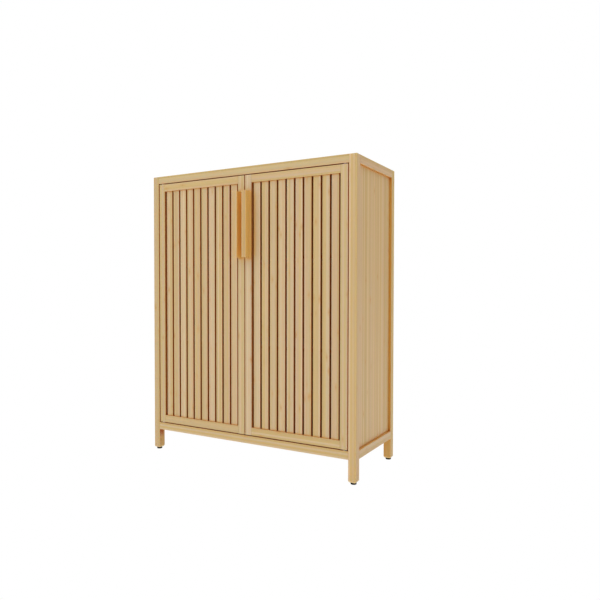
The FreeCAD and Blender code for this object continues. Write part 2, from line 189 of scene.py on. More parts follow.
# colours of painted shade: golden and amber where a place is closed in, ember and the darkest one deep in gaps, umber
# inside the body
PAINTED_SHADE_GOLD = (0.66, 0.360, 0.085)
PAINTED_SHADE_AMBER = (0.66, 0.275, 0.045)
PAINTED_SHADE_EMBER = (0.48, 0.100, 0.010)
PAINTED_GAP_SHADE = (0.33, 0.062, 0.007)
PAINTED_INSIDE_SHADE = (0.58, 0.300, 0.080)


# ------------------------------------------------------------------ bamboo
# Laminated bamboo: strips side by side, each with its own tone, long fibres, fine dark
# vessel flecks, and a knuckle every 0.3 m or so. The pattern is solid, so end grain shows
# the ends of the same fibres.
def bamboo(name, axis, strip, strip2=0.05, origin=0.0, origin2=0.0, pitch=None, seed=0.0,
           tone=(1.0, 1.0, 1.0), rough=0.42, vary=1.0, walls=None, deep=True):
    mat = bpy.data.materials.new(name)
    t = Tree(mat)
    tc = t.coords()
    x, y, z = t.xyz(tc.outputs["Object"])
    nx, ny, nz = t.xyz(tc.outputs["Normal"])
    along, across, depth, nl = {
        "X": (x, z, y, nx),
        "Y": (y, z, x, ny),
        "Z": (z, x, y, nz),
        "z": (z, y, x, nz),
        "x": (x, y, z, nx),
    }[axis]

    a = t.sub(across, origin)
    group = 0.0
    if pitch:
        group = t.m("FLOOR", t.div(t.add(a, 0.5 * pitch[1]), pitch[0]))
        a = t.sub(a, t.mul(group, pitch[0]))
        group = t.mul(group, 17.0)
    ca = t.div(a, strip)
    cb = t.div(t.sub(depth, origin2), strip2)
    ia = t.m("FLOOR", ca)
    ib = t.m("FLOOR", cb)
    ida = t.add(ia, group)
    r1, rc = t.white(t.vec(ida, ib, seed + 0.37))
    cr, cg, cbl = t.xyz(rc)

    # every strip reads its own place in the noise
    local = t.vadd(t.vec(across, depth, along), t.vscale(rc, 7.0))
    lx, ly, lz = t.xyz(local)

    def fibre(sa, sl, detail, rough_, off):
        return t.noise(t.vec(t.mul(lx, sa), t.mul(ly, sa), t.add(t.mul(lz, sl), off)), 1.0, detail, rough_)

    broad = fibre(150.0, 3.2, 2.0, 0.5, 0.0)      # slow drift of tone along a strip
    band = fibre(420.0, 5.0, 2.0, 0.55, 3.1)       # 2 mm bands
    fine = fibre(1500.0, 22.0, 3.0, 0.6, 9.7)      # fibres
    fleck = fibre(2600.0, 55.0, 2.0, 0.5, 17.3)    # vessels

    # knuckles
    spacing = 0.31
    tt = t.add(t.div(along, spacing), t.mul(r1, 9.0))
    n = t.m("FLOOR", tt)
    r2, rc2 = t.white(t.vec(ida, t.add(ib, 0.5), t.add(n, seed + 2.71)))
    k1, k2, k3 = t.xyz(rc2)
    centre = t.add(0.5, t.mul(t.sub(k1, 0.5), 0.55))
    wave = t.sub(fibre(260.0, 30.0, 1.0, 0.5, 5.0), 0.5)
    d = t.add(t.mul(t.sub(t.m("FRACT", tt), centre), spacing), t.mul(wave, 0.006))
    ad = t.m("ABSOLUTE", d)
    core = t.ramp(ad, 0.0006, 0.0050, 1.0, 0.0)
    halo = t.ramp(t.add(ad, t.mul(t.sub(band, 0.5), 0.014)), 0.002, 0.019, 1.0, 0.0)
    strength = t.ramp(k2, 0.50, 1.0, 0.0, 1.0)

    # tones
    yellow = srgb(208, 181, 123)
    pale = srgb(217, 195, 156)
    rosy = srgb(214, 182, 145)
    scale = lambda c, s: tuple(a_ * b_ for a_, b_ in zip(c, s))
    base = t.mix(t.ramp(cr, 0.1, 0.9, 0.5 - 0.5 * vary, 0.5 + 0.5 * vary), scale(yellow, tone), scale(pale, tone))
    base = t.mix(t.mul(t.ramp(cg, 0.45, 0.95), 0.7 * vary), base, scale(rosy, tone))
    shade = t.add(t.add(0.985 - 0.06 * vary, t.mul(cbl, 0.12 * vary)), t.mul(t.sub(broad, 0.5), 0.16))
    shade = t.add(shade, t.mul(t.sub(band, 0.5), 0.13))
    shade = t.add(shade, t.mul(t.sub(fine, 0.5), 0.12))
    base = t.mix(1.0, base, t.vec(shade, shade, shade), "MULTIPLY")
    warm = t.ramp(band, 0.52, 0.78)
    base = t.mix(t.mul(warm, 0.30), base, scale(srgb(207, 164, 100), tone))
    dark = t.ramp(fleck, 0.62, 0.74)
    base = t.mix(t.mul(dark, 0.30), base, scale(srgb(158, 112, 62), tone))
    base = t.mix(t.mul(t.mul(halo, strength), 0.50), base, scale(srgb(207, 158, 88), tone))
    base = t.mix(t.mul(t.mul(core, strength), 0.22), base, scale(srgb(184, 128, 66), tone))

    # glue lines between strips
    ea = t.m("ABSOLUTE", t.sub(t.m("FRACT", ca), 0.5))
    eb = t.m("ABSOLUTE", t.sub(t.m("FRACT", cb), 0.5))
    glue = t.m("MAXIMUM", t.ramp(ea, 0.5 - 0.00022 / strip, 0.5 - 0.00008 / strip),
               t.ramp(eb, 0.5 - 0.00022 / strip2, 0.5 - 0.00008 / strip2))
    base = t.mix(t.mul(glue, 0.28), base, scale(srgb(150, 104, 58), tone))

    # end grain
    end = t.ramp(t.m("ABSOLUTE", nl), 0.75, 0.95)
    dots = t.ramp(fine, 0.46, 0.62)
    cut = t.mix(t.mul(dots, 0.6), scale(srgb(190, 150, 92), tone), scale(srgb(132, 88, 44), tone))
    base = t.mix(t.mul(end, 0.62), base, cut)

    # painted shade: the more a place is closed in, the more its colour is turned golden, then amber, standing for light
    # that has bounced between wood
    near_floor = t.ramp(z, 0.004, 0.034, 0.95, 0.0)
    closed = t.m("MAXIMUM", t.sub(t.hollow(0.032, 6), near_floor), 0.0)
    # undersides near the floor are in its shade, not inside the body
    under = t.mul(t.ramp(z, 0.11, 0.14, 1.0, 0.0), t.ramp(nz, -0.7, -0.3, 0.6, 0.0))
    inside = t.mul(t.hollow(0.40, 6), t.sub(1.0, under))
    soft = t.ramp(inside, 0.55, 0.88, 1.0, 0.30)      # weaker painted shade lines in the corners of the compartments
    # painted shade inside the body: umber where the wide occlusion is high
    base = t.mix(t.ramp(inside, 0.55, 0.92), base, scale(PAINTED_INSIDE_SHADE, tone))
    if walls:
        # painted shade: side faces of slats, stiles and handles take a fixed tint, stronger in the gaps
        colour, least = walls[:2]
        if len(walls) > 2:            # a lighter painted tint, standing for bounced light, where the two handles face each other
            colour = t.mix(t.ramp(inside, 0.58, 0.80), colour, walls[2])
            wall_shade_amount = t.ramp(inside, 0.50, 0.70, least, 0.97)
            if len(walls) > 3:        # and a golden painted shade tint on the side away from the other handle
                wall_shade_amount = t.m("MAXIMUM", wall_shade_amount, t.ramp(nx, 0.12, 0.60, 0.0, walls[3]))
        else:
            wall_shade_amount = t.ramp(inside, 0.08, 0.38, least, 0.97)
        side = t.mul(t.ramp(t.m("ABSOLUTE", nx), 0.12, 0.60), wall_shade_amount)
        if not least:                 # painted shade on the side faces in the narrow gap round a shut door, and on no others
            edge = t.m("MAXIMUM", t.m("ABSOLUTE", nx), t.m("ABSOLUTE", nz))
            narrow = t.mul(t.ramp(closed, 0.03, 0.18, 0.0, 0.98), t.ramp(y, -0.1240, -0.1180, 1.0, 0.0))
            side = t.mul(t.ramp(edge, 0.05, 0.35), narrow)
        base = t.mix(side, base, colour)
    # painted shade in corners and recesses: golden, then amber
    base = t.mix(t.mul(t.ramp(closed, 0.12, 0.40), soft), base, scale(PAINTED_SHADE_GOLD, tone))
    base = t.mix(t.mul(t.ramp(closed, 0.40, 0.64), soft), base, scale(PAINTED_SHADE_AMBER, tone))
    if walls:
        # the painted gap shade again, over the golden and amber
        base = t.mix(t.mul(side, 0.6), base, colour)
    if deep:
        # painted shade deep in the gaps and far inside the body: ember, then the darkest gap shade
        innermost = t.mul(t.ramp(inside, 0.80, 0.91), t.ramp(z, 0.090, 0.110, 0.0, 1.0))
        base = t.mix(t.m("MAXIMUM", t.ramp(closed, 0.55, 0.70), innermost), base, PAINTED_SHADE_EMBER)
        base = t.mix(t.ramp(closed, 0.68, 0.86), base, PAINTED_GAP_SHADE)

    r = t.add(rough, t.add(t.mul(t.sub(fine, 0.5), 0.10), t.mul(t.sub(broad, 0.5), 0.10)))
    r = t.add(r, t.mul(end, 0.12))
    h = t.add(t.mul(fine, 0.6), t.mul(band, 0.5))
    h = t.sub(h, t.add(t.mul(dark, 0.5), t.mul(glue, 0.6)))
    h = t.add(h, t.mul(t.mul(core, strength), 0.8))
    normal = t.bump(h, 0.00006, 0.55)
    t.surface(base, r, normal, IOR=1.42, Specular_IOR_Level=0.22, Coat_Weight=0.04, Coat_Roughness=0.35,
              Coat_IOR=1.5, Subsurface_Weight=0.15, Subsurface_Radius=(1.0, 0.36, 0.10), Subsurface_Scale=0.008)
    return mat


def plastic(name, colour, rough, grain=900.0, depth=0.00004, **extra):
    """Moulded plastic with a fine spark-eroded texture."""
    mat = bpy.data.materials.new(name)
    t = Tree(mat)
    p = t.coords().outputs["Object"]
    g = t.noise(p, grain, 3.0, 0.6)
    big = t.noise(p, 60.0, 2.0, 0.5)
    dark = tuple(v * 0.78 for v in colour)
    col = t.mix(t.ramp(big, 0.3, 0.7), colour, dark)
    r = t.add(rough, t.mul(t.sub(g, 0.5), 0.18))
    t.surface(col, r, t.bump(g, depth, 0.8), **extra)
    return mat


def metal(name, colour, rough, axis="z", turned=0.0, tint=None, grain=0.5):
    """Plated or cast metal. Turned parts show fine rings across their axis."""
    mat = bpy.data.materials.new(name)
    t = Tree(mat)
    p = t.coords().outputs["Object"]
    x, y, z = t.xyz(p)
    l = {"x": x, "y": y, "z": z}[axis]
    cloud = t.noise(p, 220.0, 3.0, 0.6)
    speck = t.noise(p, 3200.0, 2.0, 0.6)
    ring = t.noise(t.vec(t.mul(l, 5200.0), 0.0, 0.0), 1.0, 2.0, 0.7)
    tint = tint or tuple(v * 0.8 for v in colour)
    col = t.mix(t.ramp(cloud, 0.3, 0.72), colour, tint)
    col = t.mix(t.mul(t.ramp(speck, 0.6, 0.75), 0.25), col, tuple(v * 0.5 for v in colour))
    r = t.add(t.add(rough, t.mul(t.sub(cloud, 0.5), 0.16)), t.mul(t.sub(speck, 0.5), 0.12))
    h = t.add(t.mul(ring, turned), t.mul(speck, grain))
    t.surface(col, r, t.bump(h, 0.00002, 0.8), Metallic=1.0)
    return mat


def beech(name, axis):
    """Raw beech for dowels: fine straight grain with short dark rays."""
    mat = bpy.data.materials.new(name)
    t = Tree(mat)
    x, y, z = t.xyz(t.coords().outputs["Object"])
    l, a, b = {"X": (x, y, z), "Y": (y, x, z), "Z": (z, x, y)}[axis]
    g = t.noise(t.vec(t.mul(a, 900.0), t.mul(b, 900.0), t.mul(l, 40.0)), 1.0, 3.0, 0.6)
    f = t.noise(t.vec(t.mul(a, 2600.0), t.mul(b, 2600.0), t.mul(l, 320.0)), 1.0, 2.0, 0.5)
    col = t.mix(t.ramp(g, 0.3, 0.7), srgb(226, 196, 150), srgb(203, 166, 118))
    col = t.mix(t.mul(t.ramp(f, 0.6, 0.74), 0.5), col, srgb(160, 110, 70))
    t.surface(col, t.add(0.62, t.mul(t.sub(g, 0.5), 0.2)), t.bump(t.add(g, f), 0.00006, 0.8))
    return mat


xl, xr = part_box("post_front_left")[0].x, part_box("post_front_right")[1].x
yf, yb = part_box("post_front_left")[0].y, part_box("post_rear_left")[1].y
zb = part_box("front_rail_bottom")[0].z
slat_low, slat_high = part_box("door_left_slats")
slat_low_r, slat_high_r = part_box("door_right_slats")
slat_w = 25.0 * MM
slat_pitch = (slat_high.x - slat_low.x - slat_w) / 9.0
slat_gap = slat_pitch - slat_w

S = 25.0 * MM / 4.0
materials = {}


def paint(node, mat):
    o = NODES[node]
    if not o.data.materials:
        o.data.materials.append(mat)
    for i in range(len(o.data.materials)):
        o.data.materials[i] = mat


def wood(node, axis, strip, strip2=0.05, **kw):
    lo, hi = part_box(node)
    ax = {"X": (2, 1), "Y": (2, 0), "Z": (0, 1), "z": (1, 0), "x": (1, 2)}[axis]
    kw.setdefault("origin", lo[ax[0]])
    kw.setdefault("origin2", lo[ax[1]])
    paint(node, bamboo("bamboo_" + node, axis, strip, strip2, **kw))


# the doors are a little paler than the body
DOOR = (0.935, 1.0, 1.08)
SLAT = (0.945, 0.98, 1.02)
seed = 1.0
# per-post tones, partly painted shade: the front left post is darkened, and the rear posts darkened and warmed, for the
# light they get; the front posts take painted gap shade on their side faces
POST_TONE_AND_SHADE = {"front_left": (0.88, 0.93, 0.86), "front_right": (1.0, 1.0, 1.0),
        "rear_left": (0.96, 0.95, 0.72), "rear_right": (0.96, 0.94, 0.68)}
for corner in ("front_left", "front_right", "rear_left", "rear_right"):
    wood("post_" + corner, "Z", S, 2 * S, seed=seed, tone=POST_TONE_AND_SHADE[corner],
         walls=(PAINTED_GAP_SHADE, 0.0) if corner.startswith("front") else None); seed += 3.3
for side in ("left", "right"):
    for level in ("top", "bottom"):
        wood(f"side_rail_{level}_{side}", "Y", 25.5 * MM / 4, 2 * S, seed=seed); seed += 3.3
    # painted shade: both side panels are darkened and warmed, standing for the dimmer, warmer light on the side faces
    wood("side_panel_" + side, "z", 7.2 * MM, 0.05, seed=seed, tone=(0.885, 0.810, 0.720)); seed += 3.3
for end in ("front", "rear"):
    for level in ("top", "bottom"):
        # rail tones, partly painted shade: the top rails darker, the bottom ones a little darker; the front rails take
        # painted gap shade on their side faces
        wood(f"{end}_rail_{level}", "X", 25.5 * MM / 4, 2 * S, seed=seed,
             tone=(0.89, 0.93, 0.87) if level == "top" else (0.95, 0.97, 0.95),
             walls=(PAINTED_GAP_SHADE, 0.0) if end == "front" else None); seed += 3.3
for board in ("top_panel", "bottom_panel", "shelf_lower", "shelf_upper"):
    wood(board, "x", 14.0 * MM, 0.05, seed=seed, vary=0.6); seed += 3.3
wood("back_panel", "Z", 13.0 * MM, 0.05, seed=seed, vary=0.5); seed += 3.3
for side in ("left", "right"):
    d = "door_" + side + "_"
    # stiles, rails and slats take painted gap shade on their side faces, the slats on all of them
    wood(d + "stile_outer", "Z", S, 0.05, seed=seed, tone=DOOR, walls=(PAINTED_GAP_SHADE, 0.0)); seed += 3.3
    wood(d + "stile_inner", "Z", S, 0.05, seed=seed, tone=DOOR, walls=(PAINTED_GAP_SHADE, 0.0)); seed += 3.3
    wood(d + "rail_top", "X", 25.5 * MM / 4, 0.05, seed=seed, tone=SLAT, walls=(PAINTED_GAP_SHADE, 0.0)); seed += 3.3
    wood(d + "rail_bottom", "X", 25.5 * MM / 4, 0.05, seed=seed, tone=SLAT, walls=(PAINTED_GAP_SHADE, 0.0)); seed += 3.3
    wood(d + "slats", "Z", S, 0.05, pitch=(slat_pitch, slat_gap), seed=seed, walls=(PAINTED_GAP_SHADE, 0.55), tone=SLAT); seed += 3.3
    # handles: painted shade tints on their side faces (orange, lighter where they face each other, golden on the right
    # handle's side away from the left); the right handle toned darker and more golden, partly painted shade
    wood(d + "handle", "Z", 5.0 * MM, 13.25 * MM, seed=seed, deep=False,
         walls=((0.72, 0.43, 0.120), 0.30, (0.98, 0.58, 0.135)) + ((0.80,) if side == "right" else ()),
         tone=(0.95, 0.93, 0.86) if side == "left" else (0.87, 0.82, 0.66)); seed += 3.3

steel = metal("zinc_steel", (0.60, 0.60, 0.58), 0.30, tint=(0.50, 0.52, 0.55))
cast = metal("cast_zinc", (0.42, 0.42, 0.43), 0.48, grain=1.4)
black = plastic("black_plastic", (0.0030, 0.0030, 0.0034), 0.70, Specular_IOR_Level=0.06)
brown = plastic("brown_plastic", (0.19, 0.10, 0.045), 0.45)
nylon = plastic("white_nylon", (0.78, 0.76, 0.70), 0.42, Subsurface_Weight=0.2, Subsurface_Scale=0.004)
magnet = metal("magnet", (0.10, 0.10, 0.11), 0.62, grain=1.6)
dowel_x = beech("dowel_wood_x", "X")
slots = {s["node"]: s["material_slot"] for s in frame["record"]["subparts"]}
plain = {"zinc_steel": steel, "cast_zinc": cast, "black_plastic": black, "brown_plastic": brown,
         "white_nylon": nylon, "magnet": magnet, "dowel_wood": dowel_x}
for node, slot in slots.items():
    if slot in plain:
        paint(node, plain[slot])


# ------------------------------------------------------------------ stage, light, camera
def stage_floor():
    bm = bmesh.new()
    n, r = 64, 30.0
    ring = [bm.verts.new((r * math.cos(2 * math.pi * i / n), r * math.sin(2 * math.pi * i / n), 0.0)) for i in range(n)]
    bm.faces.new(ring)
    me = bpy.data.meshes.new("floor")
    bm.to_mesh(me)
    bm.free()
    o = bpy.data.objects.new("floor", me)
    bpy.context.scene.collection.objects.link(o)
    mat = bpy.data.materials.new("floor_paint")
    t = Tree(mat)
    g = t.noise(t.coords().outputs["Object"], 3.0, 2.0, 0.5)
    col = t.mix(g, (0.29, 0.29, 0.29), (0.31, 0.31, 0.31))
    t.surface(col, 0.85, None, Specular_IOR_Level=0.1, Emission_Color=(1.0, 1.0, 1.0, 1.0), Emission_Strength=0.88)
    me.materials.append(mat)
    o.visible_camera = False        # it lights the object; the white backdrop is what shows, as in a cut-out


stage_floor()

scene = bpy.context.scene
world = bpy.data.worlds.new("studio")
scene.world = world
world.use_nodes = True
bg = world.node_tree.nodes.get("Background") or world.node_tree.nodes.new("ShaderNodeBackground")
wt = world.node_tree
direction = wt.nodes.new("ShaderNodeTexCoord")
parts = wt.nodes.new("ShaderNodeSeparateXYZ")
fall = wt.nodes.new("ShaderNodeMapRange")
fall.interpolation_type = "SMOOTHSTEP"
for k, v in (("From Min", 0.05), ("From Max", 0.85), ("To Min", 1.0), ("To Max", 0.36)):
    fall.inputs[k].default_value = v
wt.links.new(direction.outputs["Generated"], parts.inputs[0])
wt.links.new(parts.outputs[0], fall.inputs["Value"])

# a white backdrop behind the object from every side; the falling strength only lights it
backdrop = wt.nodes.new("ShaderNodeLightPath")
shown = wt.nodes.new("ShaderNodeMath")
shown.operation = "MAXIMUM"
warmth = wt.nodes.new("ShaderNodeMix")
warmth.data_type = "RGBA"
warmth.inputs[6].default_value = (1.0, 0.86, 0.66, 1.0)
warmth.inputs[7].default_value = (1.0, 1.0, 1.0, 1.0)
wt.links.new(fall.outputs["Result"], shown.inputs[0])
wt.links.new(backdrop.outputs["Is Camera Ray"], shown.inputs[1])
wt.links.new(shown.outputs[0], bg.inputs["Strength"])
wt.links.new(shown.outputs[0], warmth.inputs["Factor"])
wt.links.new(warmth.outputs[2], bg.inputs["Color"])
scene.view_settings.view_transform = "Standard"


def area(name, at, target, size, power, colour=(1, 1, 1)):
    light = bpy.data.lights.new(name, "AREA")
    light.shape = "RECTANGLE"
    light.size, light.size_y = size
    light.energy = power
    light.color = colour
    o = bpy.data.objects.new(name, light)
    scene.collection.objects.link(o)
    o.location = at
    o.rotation_euler = (Vector(target) - Vector(at)).to_track_quat("-Z", "Y").to_euler()
    return o


area("softbox_top", (0.0, -0.3, 3.4), (0, 0, 0), (4.0, 4.0), 60.0)
front_box = area("softbox_front", (-1.2, -4.2, 1.9), (0, 0, 0.5), (3.0, 3.0), 12.0)
front_box.visible_camera = False

f_px = 575.10
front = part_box("post_front_left")[0].y
cam_at = Vector((1.07251, front - 1.52914, 0.58235))
yaw, pitch, roll = -0.5157, -0.0238, 0.0014
fw = Vector((math.sin(yaw) * math.cos(pitch), math.cos(yaw) * math.cos(pitch), math.sin(pitch)))
right = fw.cross(Vector((0, 0, 1))).normalized()
up = right.cross(fw)
right, up = (math.cos(roll) * right + math.sin(roll) * up), (-math.sin(roll) * right + math.cos(roll) * up)
camera = bpy.data.cameras.new("camera")
camera.sensor_fit = "HORIZONTAL"
camera.sensor_width = 36.0
camera.lens = 36.0 * f_px / 600.0
camera.clip_end = 100.0
cam = bpy.data.objects.new("camera", camera)
scene.collection.objects.link(cam)
cam.matrix_world = Matrix((
    (right.x, up.x, -fw.x, cam_at.x),
    (right.y, up.y, -fw.y, cam_at.y),
    (right.z, up.z, -fw.z, cam_at.z),
    (0, 0, 0, 1)))
scene.camera = cam

# ------------------------------------------------------------------ hardware in detail
# Each piece is built inside its CAD node's volume, in the row frame, and stands for that node.
def lumps(node):
    """Low and high corners of each separate solid of a node."""
    bm = bmesh.new()
    bm.from_mesh(NODES[node].data)
    bmesh.ops.remove_doubles(bm, verts=bm.verts, dist=1e-6)
    left, found = set(bm.verts), []
    while left:
        stack, seen = [left.pop()], []
        while stack:
            v = stack.pop()
            seen.append(v.co.copy())
            for e in v.link_edges:
                w = e.other_vert(v)
                if w in left:
                    left.remove(w)
                    stack.append(w)
        found.append((Vector([min(c[i] for c in seen) for i in range(3)]),
                      Vector([max(c[i] for c in seen) for i in range(3)])))
    bm.free()
    return sorted(found, key=lambda b: tuple(round(v, 6) for v in b[0]))


def turn(bm, at, axis, rings, n, loop=False):
    """A turned solid along axis from the point at. Each ring is (distance along the axis, radius),
    and the radius may be a function of the angle. A radius of 0 closes an end; loop joins the last ring to the first."""
    axis = Vector(axis).normalized()
    u = axis.orthogonal().normalized()
    if abs(axis.z) > 0.9:
        u = Vector((1, 0, 0))
    w = axis.cross(u)
    rows = []
    for s, r in rings:
        c = Vector(at) + axis * s
        if not callable(r) and r == 0:
            rows.append([bm.verts.new(c)])
            continue
        row = []
        for i in range(n):
            a = 2 * math.pi * i / n
            k = r(a) if callable(r) else r
            row.append(bm.verts.new(c + u * (k * math.cos(a)) + w * (k * math.sin(a))))
        rows.append(row)
    pairs = list(zip(rows, rows[1:])) + ([(rows[-1], rows[0])] if loop else [])
    for a, b in pairs:
        for i in range(n):
            j = (i + 1) % n
            if len(a) == 1 and len(b) > 1:
                f = bm.faces.new((a[0], b[j], b[i]))
            elif len(b) == 1 and len(a) > 1:
                f = bm.faces.new((a[i], a[j], b[0]))
            elif len(a) > 1:
                f = bm.faces.new((a[i], a[j], b[j], b[i]))
            else:
                continue
            f.smooth = True


def thread(s0, s1, crest, depth, pitch, lead=1.0, steps=8, runout=1.0):
    """Rings of a screw thread from s0 to s1, fading out at both ends."""
    rings = []
    count = max(2, int(round((s1 - s0) / pitch * steps)))
    for k in range(count + 1):
        s = s0 + (s1 - s0) * k / count
        fade = min(1.0, (s - s0) / (runout * pitch), (s1 - s) / (runout * pitch))

        def radius(a, s=s, fade=fade):
            p = (lead * s / pitch - a / (2 * math.pi)) % 1.0
            d = abs(2 * p - 1)                      # 0 on the crest, 1 in the root
            return crest - depth * (1 - fade + fade * min(1.0, max(0.0, (d - 0.15) / 0.7)))
        rings.append((s, radius))
    return rings


def made(name, bm, mat, body, slot_name, *nodes, sharp=38):
    bmesh.ops.recalc_face_normals(bm, faces=bm.faces)
    me = bpy.data.meshes.new(name)
    bm.to_mesh(me)
    bm.free()
    me.materials.append(mat)
    me.set_sharp_from_angle(angle=math.radians(sharp))
    o = bpy.data.objects.new(name, me)
    scene.collection.objects.link(o)
    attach(o, body)
    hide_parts(*nodes)
    return o


def recess(o, tools):
    """Cut tapered cross recesses into o. Each tool is (centre of the head's face, axis into the head, size, depth)."""
    bm = bmesh.new()
    for p, axis, size, depth in tools:
        axis = Vector(axis)
        u = Vector((1, 0, 0)) if abs(axis.x) < 0.5 else Vector((0, 1, 0))
        w = axis.cross(u)
        h, t = size / 2, size / 9.0
        cross = [(h, -t), (h, t), (1.9 * t, 1.9 * t), (t, h), (-t, h), (-1.9 * t, 1.9 * t), (-h, t), (-h, -t),
                 (-1.9 * t, -1.9 * t), (-t, -h), (t, -h), (1.9 * t, -1.9 * t)]
        rows = []
        for s, k in ((-0.3 * MM, 1.04), (depth * 0.35, 0.86), (depth, 0.34)):
            c = Vector(p) + axis * s
            rows.append([bm.verts.new(c + u * (a * k) + w * (b * k)) for a, b in cross])
        m = len(cross)
        for a, b in zip(rows, rows[1:]):
            for i in range(m):
                bm.faces.new((a[i], a[(i + 1) % m], b[(i + 1) % m], b[i]))
        bm.faces.new(rows[0])
        bm.faces.new(rows[-1])
    bmesh.ops.recalc_face_normals(bm, faces=bm.faces)
    me = bpy.data.meshes.new(o.name + "_cutter")
    bm.to_mesh(me)
    bm.free()
    cutter = bpy.data.objects.new(me.name, me)
    scene.collection.objects.link(cutter)
    mod = o.modifiers.new("recess", "BOOLEAN")
    mod.operation = "DIFFERENCE"
    mod.solver = "EXACT"
    mod.object = cutter
    bpy.context.view_layer.update()
    got = bpy.data.meshes.new_from_object(o.evaluated_get(bpy.context.evaluated_depsgraph_get()))
    bm = bmesh.new()
    bm.from_mesh(got)
    bmesh.ops.remove_doubles(bm, verts=bm.verts, dist=2e-6)
    bmesh.ops.dissolve_degenerate(bm, edges=bm.edges, dist=2e-6)
    bm.to_mesh(got)
    bm.free()
    o.modifiers.clear()
    old = o.data
    got.name = old.name + "_cut"
    o.data = got
    bpy.data.meshes.remove(old)
    bpy.data.objects.remove(cutter)
    o.data.set_sharp_from_angle(angle=math.radians(38))


def arc(c_s, c_r, rad, a0, a1, steps=5):
    """Points (s, r) on an arc about (c_s, c_r)."""
    return [(c_s + rad * math.sin(math.radians(a0 + (a1 - a0) * i / steps)),
             c_r + rad * math.cos(math.radians(a0 + (a1 - a0) * i / steps))) for i in range(steps + 1)]


def flat_screw(bm, at, axis, d, head_d, head_t, length):
    """Countersunk wood screw, its head's face at the point at."""
    d, head_d, head_t, length = d * MM, head_d * MM, head_t * MM, length * MM
    R = head_d / 2 - 0.02 * MM
    rings = [(0.0, 0), (0.0, R * 0.45), (0.0, R * 0.93), (0.06 * MM, R * 0.98), (0.18 * MM, R), (0.30 * MM, R * 0.985)]
    rings += [(head_t, d / 2 * 0.84)]
    tip0 = length - d
    rings += thread(head_t + 0.2 * MM, tip0, d / 2 * 0.985, 0.40 * MM, 1.1 * MM, steps=8)[1:]
    rings += [(tip0 + d * f, d / 2 * 0.70 * (1 - f) ** 0.8 + 0.00002) for f in (0.3, 0.6, 0.85)]
    rings += [(length - 0.05 * MM, 0)]
    turn(bm, at, axis, rings, 24)


def screws(name, node, body, spec, at_axis, size, depth):
    """Countersunk screws for a node; at_axis gives each solid's head face and direction from its box."""
    bm = bmesh.new()
    tools = []
    for lo, hi in lumps(node):
        at, axis = at_axis(lo, hi)
        flat_screw(bm, at, axis, *spec)
        tools.append((at, axis, size * MM, depth * MM))
    recess(made(name, bm, steel, body, "zinc_steel", node), tools)


